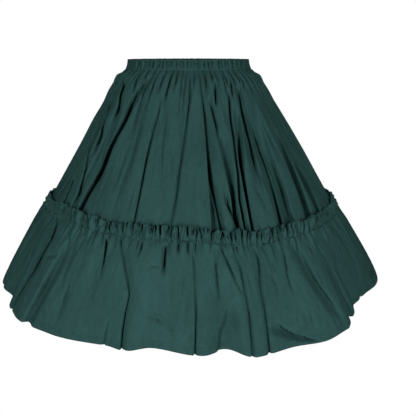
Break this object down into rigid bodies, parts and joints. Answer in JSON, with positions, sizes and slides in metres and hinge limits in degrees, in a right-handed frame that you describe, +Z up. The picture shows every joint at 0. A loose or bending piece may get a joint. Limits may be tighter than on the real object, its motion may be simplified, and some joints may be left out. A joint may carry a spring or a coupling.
{
  "type": "circle skirt",
  "caption": "Flared tiered circle skirt: gathered elastic waistband, ruffle trim over the tier join, full flounce with a narrow hem; hollow worn form open at waist and hem.",
  "frame": {"origin": "centre of the waist opening, at the middle of the waistband's height, where a wearer's waist holds the skirt", "axes": "+Z up along the body, -Y the front of the skirt, +X to the right seen from the front"},
  "size_m": [0.8675, 0.8835, 0.4785],
  "materials": {
    "waistband_cloth": "matt woven cloth, dark green",
    "upper_cloth": "smooth plain-woven cloth with a faint sheen, dark green",
    "frill_cloth": "smooth plain-woven cloth, tightly gathered, dark green",
    "flounce_cloth": "smooth plain-woven cloth with a faint sheen, dark green"
  },
  "bodies": {
    "root": {"waistband": "waistband_cloth", "upper_front": "upper_cloth", "upper_back": "upper_cloth", "frill_front": "frill_cloth", "frill_back": "frill_cloth", "flounce_front": "flounce_cloth", "flounce_back": "flounce_cloth"}
  },
  "joints": []
}
